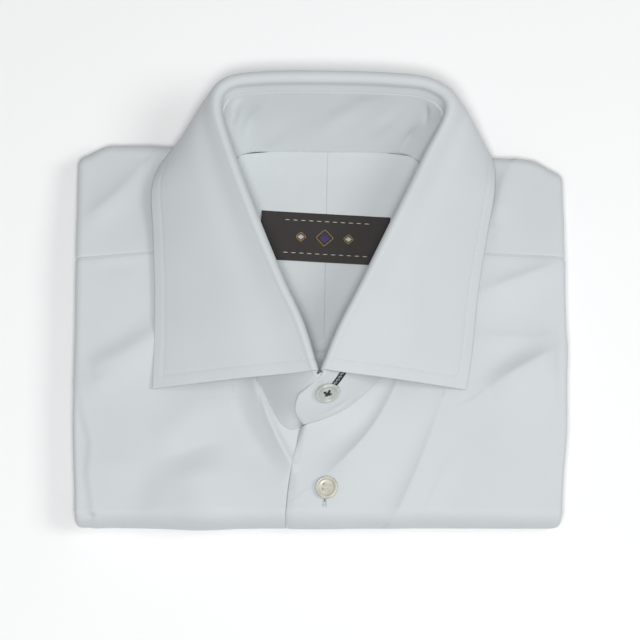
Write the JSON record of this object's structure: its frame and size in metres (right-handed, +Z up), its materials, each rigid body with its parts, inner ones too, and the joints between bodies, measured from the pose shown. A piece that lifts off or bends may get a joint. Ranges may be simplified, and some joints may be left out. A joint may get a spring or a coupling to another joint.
{
  "type": "folded dress shirt",
  "caption": "Long-sleeved dress shirt buttoned at the neck and folded flat into a package, with a stiff spread collar standing at one end, a neck label and shell buttons",
  "frame": {"origin": "the centre of the flat underside, on the surface that the folded shirt rests on", "axes": "+Z up; +X to the viewer's right across the chest; +Y from the fold at the front towards the collar"},
  "size_m": [0.2459, 0.2257, 0.0579],
  "materials": {
    "shirting": "white fine twill cotton, matt with a slight sheen",
    "label_weave": "dark brown satin-woven label",
    "shell_cream": "cream shell, polished",
    "shell_grey": "pale grey-green shell, polished"
  },
  "bodies": {
    "root": {"hidden_layers": "shirting", "front_left": "shirting", "front_right": "shirting", "yoke_outer_left": "shirting", "yoke_outer_right": "shirting", "yoke_inner_left": "shirting", "yoke_inner_right": "shirting", "back": "shirting", "collar_leaf": "shirting", "collar_stand": "shirting", "label": "label_weave", "button_collar": "shell_grey", "button_front": "shell_cream"}
  },
  "joints": []
}
